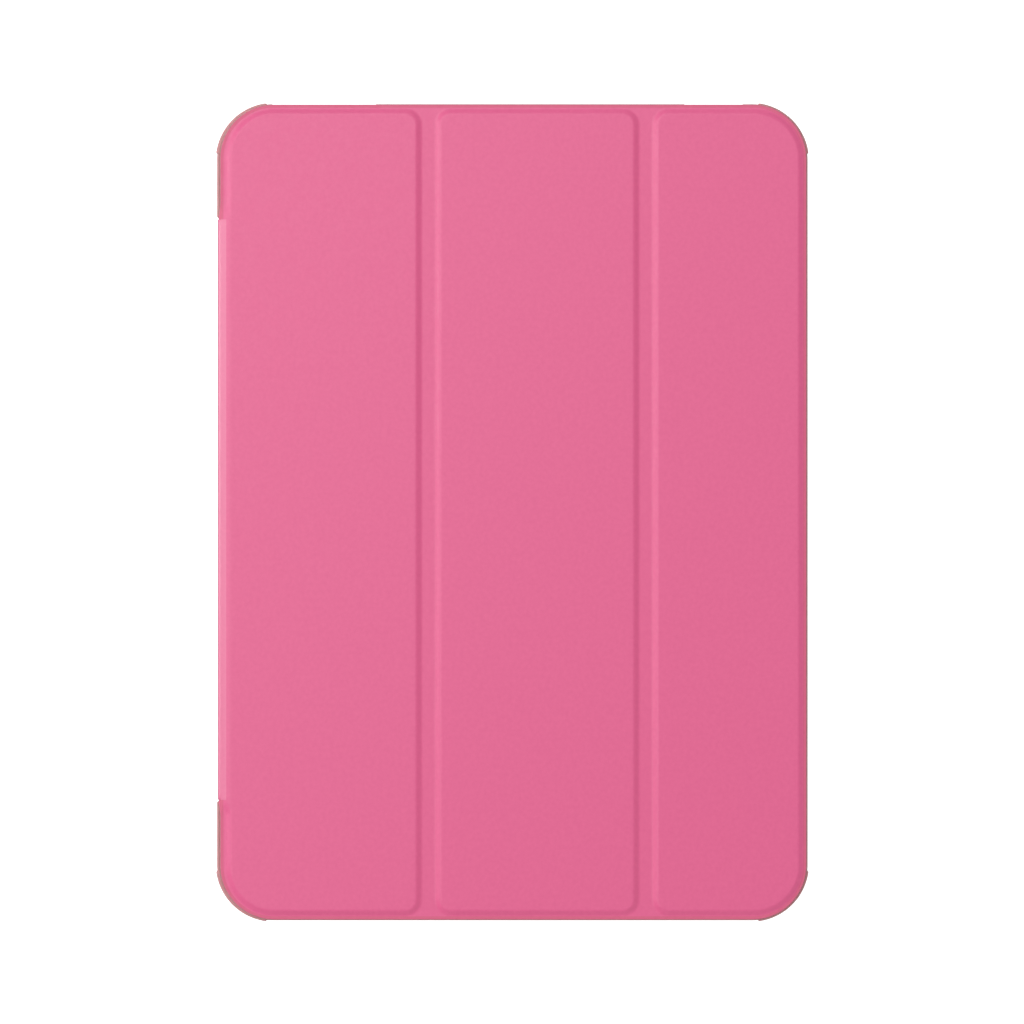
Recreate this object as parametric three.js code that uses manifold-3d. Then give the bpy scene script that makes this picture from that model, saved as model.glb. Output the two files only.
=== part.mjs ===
// Tri-fold case for a 10.9-inch tablet: a bumper frame and back plate that hold the tablet,
// and a leather-look cover of three boards that wraps round one long edge.
// Millimetres. The case lies closed on its back: +X away from the spine, +Y to the top, +Z out of the cover.
import * as THREE from "three";
import { mergeVertices } from "three/addons/utils/BufferGeometryUtils.js";
import Module from "manifold-3d";

// The tablet that the case is made for, and its room in the frame.
const tabletWidth = 179.5;
const tabletHeight = 248.6;
const tabletThickness = 7;
const tabletCornerRadius = 15.85;
const tabletClearance = 0.15;

// Bumper frame and back plate.
const wallThickness = 1.1;
const wallGrowthAtEnds = 1.3;
const bumperProud = 0.3;
const bumperProudAtEnds = 0.42;
const floorThickness = 1.6;
const wallAboveTablet = 0.3;
const lipAboveTablet = 0.5;
const frameLedge = 5;
const moulding = 0.05;
const bumperRampStart = 5;
const bumperRampEnd = 8;

// Cover: a skin over boards, with a soft lining against the glass.
const coverBottom = 9.6;
const liningThickness = 0.5;
const boardThickness = 0.8;
const skinThickness = 0.6;
const glueLine = 0.03;
const coverLeft = -89.9;
const coverRight = 90.5;
const coverTop = 125.45;
const coverBottomEdge = -125.35;
const coverCornerRadius = 16.6;
const rimWidth = 0.8;
const slopeWidth = 2.7;
const raisedInnerRadius = 5.2;
const boardPlay = 0.1;
const liningInset = 0.15;

// Grooves between the boards, where the cover folds.
const grooveWidth = 3.2;
const groove1Left = -27.7;
const groove2Left = 39.2;

// Spine and the tab that holds it to the back.
const spineOuter = -90.7;
const spineInner = -89.8;
const spineSkin = 0.4;
const spineStiffener = 0.22;
const spineHalfLength = 89.3;
const spineCentre = 0.8;
const spineEndGap = 0.3;
const spineSideGap = 0.15;
const spineStart = 1.05;
const spineEnd = 9.4;
const frontFoldEnd = -88.6;
const stiffenerEndInset = 1.5;
const stiffenerSideInset = 0.6;
const liningCorner = 0.1;
const tabWidth = 25;
const tabAdhesive = 0.1;
const adhesiveInset = 1;
const tabRecess = 0.55;
const backFoldEnd = -89.2;

// Openings through the frame and the back plate.
const cameraCentre = [72, 107.5];
const cameraSize = [24, 24];
const cameraRadius = 8;
const portWidth = 15;
const portHeight = 5;
const speakerWidth = 26;
const speakerCentre = 62;
const speakerHeight = 3;
const volumeButtons = { centre: -58, width: 32 };
const powerButton = { centre: 62, width: 18 };
const buttonHeight = 3.6;
const notchReach = 0.6;

// Magnets and plates, set into holes in the boards.
const magnetClearance = 0.15;
const magnetThickness = 0.74;
const magnetSize = [5, 20];
const edgeMagnets = [80, 28, -28, -80];
const edgeMagnetX = 82.5;
const keeperSize = [6, 150];
const keeperX = -78;
const wakeMagnetSize = [4, 10];
const wakeMagnetPlace = [74, -54];

// How finely arcs are cut, and how far one shape runs into or past another when they are joined or cut.
const arcSteps = 6;
const overlap = 0.1;
const cutMargin = 1;

// Heights that follow from the sizes above.
const glassTop = floorThickness + tabletThickness;
const wallTop = glassTop + wallAboveTablet;
const lipTop = glassTop + lipAboveTablet;
const liningTop = coverBottom + liningThickness;
const boardBottom = liningTop + glueLine;
const boardTop = boardBottom + boardThickness;
const rimTop = liningTop + skinThickness;
const reliefTop = boardTop + skinThickness - glueLine;

const wasm = await Module();
wasm.setup();

const colours = {
  leather: { color: 0xe4729a, roughness: 0.62 },
  lining: { color: 0xc98a9e, roughness: 0.95 },
  board: { color: 0xb9b4a8, roughness: 0.9 },
  bumper: { color: 0xd8a3a0, roughness: 0.45 },
  plate: { color: 0xe9d3d2, roughness: 0.35 },
  magnet: { color: 0x9a9a9c, roughness: 0.35, metalness: 0.9 },
  adhesive: { color: 0xd9d4c6, roughness: 0.8 },
};

const materials = Object.fromEntries(
  Object.entries(colours).map(([name, look]) => [
    name,
    new THREE.MeshStandardMaterial(look),
  ]),
);

// A rectangle with its own radius at each corner, counter-clockwise from the lower left.
function roundedRectangle({ left, right, low, high, radii }) {
  const corners = [
    [left, low, 1, 1, Math.PI],
    [right, low, -1, 1, 1.5 * Math.PI],
    [right, high, -1, -1, 0],
    [left, high, 1, -1, 0.5 * Math.PI],
  ];
  const points = [];
  corners.forEach(([x, y, inX, inY, start], corner) => {
    const radius = radii[corner];
    const steps = radius > 0 ? arcSteps : 0;
    for (let step = 0; step <= steps; step++) {
      const angle = start + (steps ? (step / steps) * 0.5 * Math.PI : 0);
      points.push(
        new THREE.Vector2(
          x + inX * radius + radius * Math.cos(angle),
          y + inY * radius + radius * Math.sin(angle),
        ),
      );
    }
  });
  return points;
}

function inset(outline, distance) {
  return {
    left: outline.left + distance,
    right: outline.right - distance,
    low: outline.low + distance,
    high: outline.high - distance,
    radii: outline.radii.map((radius) => Math.max(radius - distance, 0.4)),
  };
}

// A plate with an outline, and round or square holes, between two heights.
function plate(outlinePoints, bottom, top, holes = []) {
  const shape = new THREE.Shape(outlinePoints);
  for (const hole of holes) shape.holes.push(new THREE.Path(hole));
  const geometry = new THREE.ExtrudeGeometry(shape, {
    depth: top - bottom,
    bevelEnabled: false,
    curveSegments: 1,
  });
  return geometry.translate(0, 0, bottom);
}

// A solid between two outlines of the same number of points at two heights.
function loft(lowPoints, bottom, highPoints, top) {
  const count = lowPoints.length;
  const positions = [];
  for (const point of lowPoints) positions.push(point.x, point.y, bottom);
  for (const point of highPoints) positions.push(point.x, point.y, top);
  const faces = [];
  for (let i = 0; i < count; i++) {
    const next = (i + 1) % count;
    faces.push(i, next, count + next, i, count + next, count + i);
  }
  for (const [a, b, c] of THREE.ShapeUtils.triangulateShape(lowPoints, []))
    faces.push(a, c, b);
  for (const [a, b, c] of THREE.ShapeUtils.triangulateShape(highPoints, []))
    faces.push(count + a, count + b, count + c);
  const geometry = new THREE.BufferGeometry();
  geometry.setAttribute(
    "position",
    new THREE.Float32BufferAttribute(positions, 3),
  );
  return geometry.setIndex(faces);
}

// A profile in the X-Z plane, swept along Y.
function alongY(profile, low, high) {
  const shape = new THREE.Shape(profile.map(([x, z]) => new THREE.Vector2(x, z)));
  const geometry = new THREE.ExtrudeGeometry(shape, {
    depth: high - low,
    bevelEnabled: false,
    curveSegments: 1,
  });
  return geometry.rotateX(0.5 * Math.PI).translate(0, high, 0);
}

function box(left, right, low, high, bottom, top) {
  return new THREE.BoxGeometry(right - left, high - low, top - bottom).translate(
    (left + right) / 2,
    (low + high) / 2,
    (bottom + top) / 2,
  );
}

function solid(geometry) {
  const bare = geometry.clone();
  bare.deleteAttribute("normal");
  bare.deleteAttribute("uv");
  const merged = mergeVertices(bare, 1e-4);
  return new wasm.Manifold(
    new wasm.Mesh({
      numProp: 3,
      vertProperties: new Float32Array(merged.attributes.position.array),
      triVerts: new Uint32Array(merged.index.array),
    }),
  );
}

function geometryOf(manifold) {
  const made = manifold.getMesh();
  const geometry = new THREE.BufferGeometry();
  geometry.setAttribute(
    "position",
    new THREE.BufferAttribute(new Float32Array(made.vertProperties), 3),
  );
  geometry.setIndex(new THREE.BufferAttribute(new Uint32Array(made.triVerts), 1));
  geometry.computeVertexNormals();
  return geometry;
}

function joined(...geometries) {
  return geometries.map(solid).reduce((sum, next) => sum.add(next));
}

function cut(manifold, ...geometries) {
  return geometries.map(solid).reduce((rest, tool) => rest.subtract(tool), manifold);
}

const assembly = new THREE.Group();

function addPiece(name, material, shape) {
  const geometry = shape.isBufferGeometry ? shape : geometryOf(shape);
  const mesh = new THREE.Mesh(geometry, materials[material]);
  mesh.name = name;
  assembly.add(mesh);
}

// ---- Frame and back plate ----

const cavity = {
  left: -tabletWidth / 2 - tabletClearance,
  right: tabletWidth / 2 + tabletClearance,
  low: -tabletHeight / 2 - tabletClearance,
  high: tabletHeight / 2 + tabletClearance,
  radii: Array(4).fill(tabletCornerRadius + tabletClearance),
};
const frameOutline = {
  left: cavity.left - wallThickness,
  right: cavity.right + wallThickness,
  low: cavity.low - wallGrowthAtEnds,
  high: cavity.high + wallGrowthAtEnds,
  radii: Array(4).fill(tabletCornerRadius + tabletClearance + wallThickness),
};
const plateOutline = inset(frameOutline, frameLedge);

const spineLow = spineCentre - spineHalfLength;
const spineHigh = spineCentre + spineHalfLength;
const spineOpening = box(
  spineOuter - cutMargin,
  spineInner + spineSideGap,
  spineLow - spineEndGap,
  spineHigh + spineEndGap,
  -cutMargin,
  lipTop + cutMargin,
);
const tabRecessCut = box(
  spineOuter - cutMargin,
  backFoldEnd + tabWidth + spineEndGap,
  spineLow - spineEndGap,
  spineHigh + spineEndGap,
  -cutMargin,
  tabRecess,
);

// One corner bumper's outline: it stands a little proud round most of the corner's arc, a little more
// towards its ends, and runs down to the wall over a few degrees there.
function bumperPoints(side, end) {
  const base = frameOutline.radii[0];
  const centreX = side * (frameOutline.right - base);
  const centreY = end * (frameOutline.high - base);
  const firstAngle = Math.atan2(end, side) - 0.25 * Math.PI;
  const at = (radius, degrees) => {
    const angle = firstAngle + THREE.MathUtils.degToRad(degrees);
    return new THREE.Vector2(
      centreX + radius * Math.cos(angle),
      centreY + radius * Math.sin(angle),
    );
  };
  const steps = 2 * arcSteps;
  const outside = [];
  const inside = [];
  for (let step = 0; step <= steps; step++) {
    const fromMiddle = (2 * step) / steps - 1;
    const proud =
      bumperProud + (bumperProudAtEnds - bumperProud) * fromMiddle ** 2;
    const degrees = 45 + fromMiddle * (45 - bumperRampEnd);
    outside.push(at(base + proud, degrees));
    inside.push(at(base - wallThickness, degrees));
  }
  return [
    at(base, bumperRampStart),
    ...outside,
    at(base, 90 - bumperRampStart),
    at(base - wallThickness, 90 - bumperRampStart),
    ...inside.reverse(),
    at(base - wallThickness, bumperRampStart),
  ];
}

// A notch through a short wall, at the top (end 1) or the bottom (end -1).
function endNotch(centre, width, bottom, top, end) {
  const inside = cavity.high - notchReach;
  const outside = frameOutline.high + cutMargin;
  return box(
    centre - width / 2,
    centre + width / 2,
    Math.min(end * inside, end * outside),
    Math.max(end * inside, end * outside),
    bottom,
    top,
  );
}

function makeBumperFrame() {
  const ring = solid(plate(roundedRectangle(frameOutline), 0, wallTop));
  let frame = cut(
    ring,
    plate(roundedRectangle(cavity), floorThickness, wallTop + cutMargin),
    plate(roundedRectangle(plateOutline), -cutMargin, floorThickness + cutMargin),
  );
  for (const side of [-1, 1])
    for (const end of [-1, 1])
      frame = frame.add(solid(plate(bumperPoints(side, end), 0, lipTop)));
  const middle = floorThickness + tabletThickness / 2;
  const bottomHole = (centre, width, height) =>
    endNotch(centre, width, middle - height / 2, middle + height / 2, -1);
  const topNotch = ({ centre, width }) =>
    endNotch(centre, width, middle - buttonHeight / 2, wallTop + cutMargin, 1);
  const notches = [
    bottomHole(0, portWidth, portHeight),
    bottomHole(-speakerCentre, speakerWidth, speakerHeight),
    bottomHole(speakerCentre, speakerWidth, speakerHeight),
    topNotch(volumeButtons),
    topNotch(powerButton),
  ];
  return cut(frame, spineOpening, tabRecessCut, ...notches);
}

const cameraOutline = {
  left: cameraCentre[0] - cameraSize[0] / 2,
  right: cameraCentre[0] + cameraSize[0] / 2,
  low: cameraCentre[1] - cameraSize[1] / 2,
  high: cameraCentre[1] + cameraSize[1] / 2,
  radii: Array(4).fill(cameraRadius),
};

function makeBackPlate() {
  const blank = solid(
    plate(roundedRectangle(inset(plateOutline, moulding)), 0, floorThickness, [
      roundedRectangle(cameraOutline),
    ]),
  );
  return cut(blank, tabRecessCut);
}

addPiece("bumper_frame", "bumper", makeBumperFrame());
addPiece("back_plate", "plate", makeBackPlate());

// ---- Hinge tab, spine and folds along the spine ----

const tabRight = backFoldEnd + tabWidth;
addPiece(
  "hinge_tab_skin",
  "leather",
  box(backFoldEnd, tabRight, spineLow, spineHigh, 0, spineSkin),
);
addPiece(
  "hinge_tab_adhesive",
  "adhesive",
  box(
    backFoldEnd + adhesiveInset,
    tabRight - adhesiveInset,
    spineLow + adhesiveInset,
    spineHigh - adhesiveInset,
    spineSkin + glueLine / 2,
    spineSkin + glueLine / 2 + tabAdhesive,
  ),
);

// The outer skin turns from the tab up into the spine.
const cornerTurn = 1.0;
function quarterTurn(centreX, centreZ, radiusX, radiusZ, from, to) {
  const points = [];
  for (let step = 0; step <= 4; step++) {
    const angle = from + ((to - from) * step) / 4;
    points.push([
      centreX + radiusX * Math.cos(angle),
      centreZ + radiusZ * Math.sin(angle),
    ]);
  }
  return points;
}
const turnCentre = spineOuter + cornerTurn;
addPiece(
  "back_fold_skin",
  "leather",
  alongY(
    [
      [backFoldEnd, 0],
      ...quarterTurn(turnCentre, cornerTurn, cornerTurn, cornerTurn, 1.5 * Math.PI, Math.PI),
      ...quarterTurn(
        turnCentre,
        cornerTurn,
        cornerTurn - spineSkin,
        cornerTurn - spineSkin,
        Math.PI,
        1.5 * Math.PI,
      ),
      [backFoldEnd, spineSkin],
    ],
    spineLow,
    spineHigh,
  ),
);

const stiffenerLeft = spineOuter + spineSkin + glueLine / 2;
const spineLiningLeft = stiffenerLeft + spineStiffener + glueLine / 2;
addPiece(
  "spine_skin",
  "leather",
  box(spineOuter, spineOuter + spineSkin, spineLow, spineHigh, spineStart, spineEnd),
);
addPiece(
  "spine_stiffener",
  "board",
  box(
    stiffenerLeft,
    stiffenerLeft + spineStiffener,
    spineLow + stiffenerEndInset,
    spineHigh - stiffenerEndInset,
    spineStart + stiffenerSideInset,
    spineEnd - stiffenerSideInset,
  ),
);
addPiece(
  "spine_lining",
  "lining",
  box(spineLiningLeft, spineInner, spineLow, spineHigh, spineStart, spineEnd),
);

// The front fold turns from the spine into the cover.
const foldCentreZ = spineEnd + glueLine;
const foldRadius = rimTop - foldCentreZ;
const foldCentreX = spineOuter + foldRadius;
const skinFoot = rimTop - skinThickness;
addPiece(
  "front_fold_skin",
  "leather",
  alongY(
    [
      ...quarterTurn(foldCentreX, foldCentreZ, foldRadius, foldRadius, Math.PI, 0.5 * Math.PI),
      [frontFoldEnd - glueLine, rimTop],
      [frontFoldEnd - glueLine, skinFoot + glueLine],
      ...quarterTurn(
        foldCentreX,
        foldCentreZ,
        foldCentreX - spineOuter - spineSkin,
        skinFoot + glueLine - foldCentreZ,
        0.5 * Math.PI,
        Math.PI,
      ),
    ].reverse(),
    spineLow,
    spineHigh,
  ),
);
addPiece(
  "front_fold_lining",
  "lining",
  alongY(
    [
      [frontFoldEnd - glueLine, coverBottom],
      [frontFoldEnd - glueLine, liningTop],
      ...quarterTurn(
        foldCentreX,
        foldCentreZ,
        foldCentreX - spineLiningLeft,
        liningTop - foldCentreZ,
        0.5 * Math.PI,
        Math.PI,
      ),
      [spineInner, foldCentreZ],
      [spineInner + liningCorner, coverBottom],
    ].reverse(),
    spineLow,
    spineHigh,
  ),
);

// ---- Cover panels ----

const groove1Right = groove1Left + grooveWidth;
const groove2Right = groove2Left + grooveWidth;
const panels = [
  { name: "panel_1", left: coverLeft, right: groove1Left - glueLine },
  { name: "panel_2", left: groove1Right + glueLine, right: groove2Left - glueLine },
  { name: "panel_3", left: groove2Right + glueLine, right: coverRight },
];

// The flat outline of a panel, its raised foot and its raised top.
function panelOutlines(index) {
  const { left, right } = panels[index];
  const first = index === 0;
  const last = index === panels.length - 1;
  const flatRadius = (isOuter) => (isOuter ? coverCornerRadius : 0);
  const flat = {
    left,
    right,
    low: coverBottomEdge,
    high: coverTop,
    radii: [flatRadius(first), flatRadius(last), flatRadius(last), flatRadius(first)],
  };
  const footRadius = (isOuter) => (isOuter ? coverCornerRadius - rimWidth : raisedInnerRadius);
  const foot = {
    left: first ? left + rimWidth : left,
    right: last ? right - rimWidth : right,
    low: flat.low + rimWidth,
    high: flat.high - rimWidth,
    radii: [footRadius(first), footRadius(last), footRadius(last), footRadius(first)],
  };
  return { flat, foot, top: inset(foot, slopeWidth) };
}

// Magnets and plates stand in holes through a board.
const inlays = [
  {
    name: "keeper_plate",
    panel: 0,
    place: [keeperX, spineCentre],
    size: keeperSize,
  },
  ...edgeMagnets.map((y, i) => ({
    name: `edge_magnet_${i + 1}`,
    panel: 2,
    place: [edgeMagnetX, y],
    size: magnetSize,
  })),
  { name: "wake_magnet", panel: 2, place: wakeMagnetPlace, size: wakeMagnetSize },
];

function centredRectangle([x, y], [width, length], margin) {
  return roundedRectangle({
    left: x - width / 2 - margin,
    right: x + width / 2 + margin,
    low: y - length / 2 - margin,
    high: y + length / 2 + margin,
    radii: [0, 0, 0, 0],
  });
}

// The first panel's edge is cut back where the fold takes over, so that the fold has room.
const foldNotch = box(
  coverLeft - cutMargin,
  frontFoldEnd,
  spineLow - spineEndGap,
  spineHigh + spineEndGap,
  coverBottom - cutMargin,
  reliefTop + cutMargin,
);

panels.forEach(({ name }, index) => {
  const { flat, foot, top } = panelOutlines(index);
  const boardOutline = roundedRectangle(top);
  const holes = inlays
    .filter(({ panel }) => panel === index)
    .map(({ place, size }) => centredRectangle(place, size, magnetClearance));
  let skin = joined(
    plate(roundedRectangle(flat), liningTop + glueLine, rimTop),
    loft(
      roundedRectangle(foot),
      rimTop - overlap,
      roundedRectangle(top),
      reliefTop,
    ),
  );
  skin = cut(
    skin,
    plate(roundedRectangle(inset(top, -boardPlay)), liningTop - cutMargin, boardTop + glueLine),
  );
  let lining = solid(plate(roundedRectangle(inset(flat, liningInset)), coverBottom, liningTop));
  if (index === 0) {
    skin = cut(skin, foldNotch);
    lining = cut(lining, foldNotch);
  }
  addPiece(`${name}_skin`, "leather", skin);
  addPiece(`${name}_board`, "board", plate(boardOutline, boardBottom, boardTop, holes));
  addPiece(`${name}_lining`, "lining", lining);
});

for (const { name, place, size } of inlays)
  addPiece(
    name,
    "magnet",
    plate(
      centredRectangle(place, size, 0),
      boardBottom + glueLine,
      boardBottom + glueLine + magnetThickness,
    ),
  );

// ---- Grooves ----

[groove1Left, groove2Left].forEach((left, index) => {
  const strip = (inward) => ({
    left,
    right: left + grooveWidth,
    low: coverBottomEdge + inward,
    high: coverTop - inward,
    radii: [0, 0, 0, 0],
  });
  addPiece(
    `groove_${index + 1}_skin`,
    "leather",
    plate(roundedRectangle(strip(0)), liningTop + glueLine, rimTop),
  );
  addPiece(
    `groove_${index + 1}_lining`,
    "lining",
    plate(roundedRectangle(strip(liningInset)), coverBottom, liningTop),
  );
});

export default assembly;
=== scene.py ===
"""The looks of the tri-fold tablet case: leather-look skin, soft lining, bumper frame and frosted back.

Sizes are in millimetres and become metres when a mesh is made.
"""

import math

import bmesh
import bpy
import numpy as np
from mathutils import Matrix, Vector


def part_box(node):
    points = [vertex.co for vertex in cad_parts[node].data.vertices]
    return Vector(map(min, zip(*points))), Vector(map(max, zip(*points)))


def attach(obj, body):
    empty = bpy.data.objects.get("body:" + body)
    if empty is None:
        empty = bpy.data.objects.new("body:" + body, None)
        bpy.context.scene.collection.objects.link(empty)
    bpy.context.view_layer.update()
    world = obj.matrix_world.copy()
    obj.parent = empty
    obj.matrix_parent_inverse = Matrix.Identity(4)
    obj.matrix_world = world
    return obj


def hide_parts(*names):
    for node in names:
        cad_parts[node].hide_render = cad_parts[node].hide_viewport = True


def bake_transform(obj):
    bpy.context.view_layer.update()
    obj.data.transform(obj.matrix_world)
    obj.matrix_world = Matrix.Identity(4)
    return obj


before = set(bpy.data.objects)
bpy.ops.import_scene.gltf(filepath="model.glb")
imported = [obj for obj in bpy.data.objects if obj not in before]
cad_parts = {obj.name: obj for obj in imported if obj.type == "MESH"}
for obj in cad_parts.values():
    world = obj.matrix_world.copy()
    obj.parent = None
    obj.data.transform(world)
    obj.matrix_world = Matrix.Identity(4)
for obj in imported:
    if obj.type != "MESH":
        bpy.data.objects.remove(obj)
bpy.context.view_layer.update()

MM = 0.001


def mm_box(node):
    low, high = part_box(node)
    return np.array(low) / MM, np.array(high) / MM


# ---- Sizes, from the CAD nodes ----

PANEL_1 = mm_box("panel_1_skin")
PANEL_3 = mm_box("panel_3_skin")
GROOVES = [mm_box("groove_1_skin"), mm_box("groove_2_skin")]
LINING = mm_box("panel_3_lining")
SPINE = mm_box("spine_skin")
SPINE_LINING = mm_box("spine_lining")
TAB = mm_box("hinge_tab_skin")
SHELL = mm_box("bumper_frame")
BACK = mm_box("back_plate")
PLATE_TOP = BACK[1][2]

COVER_LEFT = PANEL_1[0][0]
COVER_RIGHT = PANEL_3[1][0]
COVER_LOW = PANEL_1[0][1]
COVER_HIGH = PANEL_1[1][1]
COVER_TOP = PANEL_1[1][2]
RIM_TOP = GROOVES[0][1][2]
SPINE_LEFT = SPINE[0][0]
SPINE_LOW = SPINE[0][1]
SPINE_HIGH = SPINE[1][1]
TAB_RIGHT = TAB[1][0]

COVER_RADIUS = 16.6
RIM_LEFT = 1.45
RIM_RIGHT = 0.57
RIM_AT_ENDS = 0.97
FOOT_GAPS = (0.5, 0.4)
CUT_EDGE_WIDTH = 0.3
SLOPE_WIDTH = 2.2
INNER_RADIUS = 5.2
SKIN_THICKNESS = 0.55
SPINE_THICKNESS = 0.38
LINING_INSET = 0.15

# The front bend, from the spine up into the cover. Angles are in degrees, up from the right.
BEND_RADIUS = 1.35
BEND_CENTRE = (SPINE_LEFT + BEND_RADIUS, 9.49)
BEND_LAST_ANGLE = 114
SPINE_MIDDLE = 5.25
BACK_BEND_RADIUS = 1.0
SPINE_END_ROUND = 0.2
SHOULDER_END = COVER_LEFT + RIM_LEFT + SLOPE_WIDTH

# The two layers of the cover. Each has its heights, its inset from the cover's outline,
# and how round its lower and upper edges are.
SKIN = {
    "inset": 0.0,
    "top": RIM_TOP,
    "thickness": SKIN_THICKNESS,
    "round_low": 0.05,
    "round_high": 0.22,
}
LINER = {
    "inset": LINING_INSET,
    "top": LINING[1][2],
    "thickness": LINING[1][2] - LINING[0][2],
    "round_low": 0.18,
    "round_high": 0.05,
}

# Distances in from the cover's edge at which a row of points runs.
# They are fine across the slope and the inner corners.
ROW_STEP = SLOPE_WIDTH / 10
ROWS = [0.3] + [RIM_RIGHT + ROW_STEP * i for i in range(26)]
BAND_ROWS = ROWS[:17]

# The cover is split where it is flat.
PANEL_1_SPLIT = -58.0
PANEL_2_SPLIT = 7.35
PANEL_3_SPLIT = 65.0
FOLD_START = COVER_LEFT + 0.4
GLOSS_END = COVER_LEFT + 1.9
CORNER_RUN = 4.9

# How far from a groove's middle the points lie close together.
GROOVE_REACH = 7.1
GROOVE_LINES = 26

# The frame and its bumpers.
FRAME_RADIUS = 17.1
CAVITY_RADIUS = 16.0
CAVITY_HALF = (89.9, 124.45)
FRAME_HALF = (91.0, 125.75)
LEDGE = 5.0
WALL_MIDDLE = 5.0
WALL_TOP = 8.9
LIP_TOP = SHELL[1][2]
BASE_ROUND = 1.3
OUTER_TOP_ROUND = 0.4
INNER_TOP_ROUND = 0.25
FLOOR_ROUND = 0.7
BUMPER_PROUD = 0.3
BUMPER_PROUD_AT_ENDS = 0.42
RAMP_START = 5.6
RAMP_END = 7.2

# Openings in the frame and the plate.
OPENING_HEIGHT = PLATE_TOP + 3.5
PORT = (15.0, 5.0)
SPEAKER = (26.0, 3.0)
SPEAKER_CENTRES = (-62, 62)
BUTTON_NOTCHES = ((-58, 32), (62, 18))
NOTCH_DEPTH = 1.8
CAMERA_OPENING = (60, 84, 95.5, 119.5)
CAMERA_OPENING_RADIUS = 8
TAB_PLAY = 0.3
TAB_RECESS = 0.55

# Past this angle between two faces, in degrees, the edge between them shows.
SHARP_ANGLE = 42


# ---- Mesh helpers ----


def ease(t):
    t = min(max(t, 0.0), 1.0)
    return t * t * (3 - 2 * t)


def make_piece(name, points, faces, materials, edge_rule=None):
    """A closed mesh from points in millimetres.

    Faces that meet the edge rule take the second material, top faces on the rim take the third, which on
    the skin is a darker copy of the leather that paints shade there, and faces beside the front bend take
    the fourth.
    """
    mesh = bpy.data.meshes.new(name)
    mesh.from_pydata([tuple(c * MM for c in point) for point in points], [], faces)
    bm = bmesh.new()
    bm.from_mesh(mesh)
    bmesh.ops.remove_doubles(bm, verts=bm.verts, dist=1e-7)
    bmesh.ops.recalc_face_normals(bm, faces=bm.faces)
    bm.to_mesh(mesh)
    bm.free()
    piece = bpy.data.objects.new(name, mesh)
    bpy.context.scene.collection.objects.link(piece)
    for material in materials:
        mesh.materials.append(material)
    for face in mesh.polygons:
        centre = face.center / MM
        if edge_rule and edge_rule(face.normal, centre):
            face.material_index = 1
        elif len(materials) > 3 and is_painted_shade_rim(face.normal, centre):
            face.material_index = 2
        elif len(materials) > 3 and is_beside_bend(centre):
            face.material_index = 3
    mesh.shade_smooth()
    mesh.set_sharp_from_angle(angle=math.radians(SHARP_ANGLE))
    return piece


def outline_distance(x, y):
    """How far in from the cover's free edge a point is. Beside the spine there is no free edge."""
    if SPINE_LOW < y < SPINE_HIGH and x < 0:
        return math.inf
    across = min(x - COVER_LEFT, COVER_RIGHT - x)
    along = min(y - COVER_LOW, COVER_HIGH - y)
    if across < COVER_RADIUS and along < COVER_RADIUS:
        return COVER_RADIUS - math.hypot(COVER_RADIUS - across, COVER_RADIUS - along)
    return min(across, along)


# Top faces on the rim, which take the darker copy of the leather that paints shade there.
def is_painted_shade_rim(normal, centre):
    return normal.z > 0.7 and outline_distance(centre.x, centre.y) < RIM_AT_ENDS


def is_beside_bend(centre):
    return centre.x < GLOSS_END and SPINE_LOW < centre.y < SPINE_HIGH


def loft_faces(rings, size, first=0):
    """Quads between rings of points that each close on themselves, and a cap at each end."""
    faces = []
    for ring in range(rings - 1):
        for i in range(size):
            a = first + ring * size + i
            b = first + ring * size + (i + 1) % size
            faces.append((a, b, b + size, a + size))
    last = first + (rings - 1) * size
    faces.append(tuple(range(first, first + size)))
    faces.append(tuple(range(last, last + size)))
    return faces


def rounded_steps(radius, count=3):
    """Points round an edge: how far in from the edge, and how far from the face it runs into."""
    angles = [0.5 * math.pi * i / count for i in range(count + 1)]
    return [(radius * (1 - math.cos(a)), radius * (1 - math.sin(a))) for a in angles]


# ---- The cover's relief ----

# Each raised area's left and right foot, and the radius of the corners there.
FEET = [
    (COVER_LEFT + RIM_LEFT, GROOVES[0][0][0], COVER_RADIUS - RIM_LEFT, INNER_RADIUS),
    (GROOVES[0][1][0] + FOOT_GAPS[0], GROOVES[1][0][0], INNER_RADIUS, INNER_RADIUS),
    (GROOVES[1][1][0] + FOOT_GAPS[1], COVER_RIGHT - RIM_RIGHT, INNER_RADIUS, COVER_RADIUS - RIM_RIGHT),
]


def depth_inside(x, y, foot):
    """How far a point is inside a raised area's rounded outline."""
    left, right, left_radius, right_radius = foot
    across = min(x - left, right - x)
    along = min(y - COVER_LOW, COVER_HIGH - y) - RIM_AT_ENDS
    radius = left_radius if x - left < right - x else right_radius
    if across < radius and along < radius:
        return radius - math.hypot(radius - across, radius - along)
    return min(across, along)


def relief(depth):
    return (COVER_TOP - RIM_TOP) * ease(depth / SLOPE_WIDTH)


def layer_top(layer, x, y):
    if layer is LINER:
        return layer["top"]
    return RIM_TOP + max(relief(depth_inside(x, y, foot)) for foot in FEET)


def band_top(layer, distance, rim):
    if layer is LINER:
        return layer["top"]
    return RIM_TOP + relief(distance - rim)


# ---- Parts of the cover that run its full height, lofted along X ----


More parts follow.
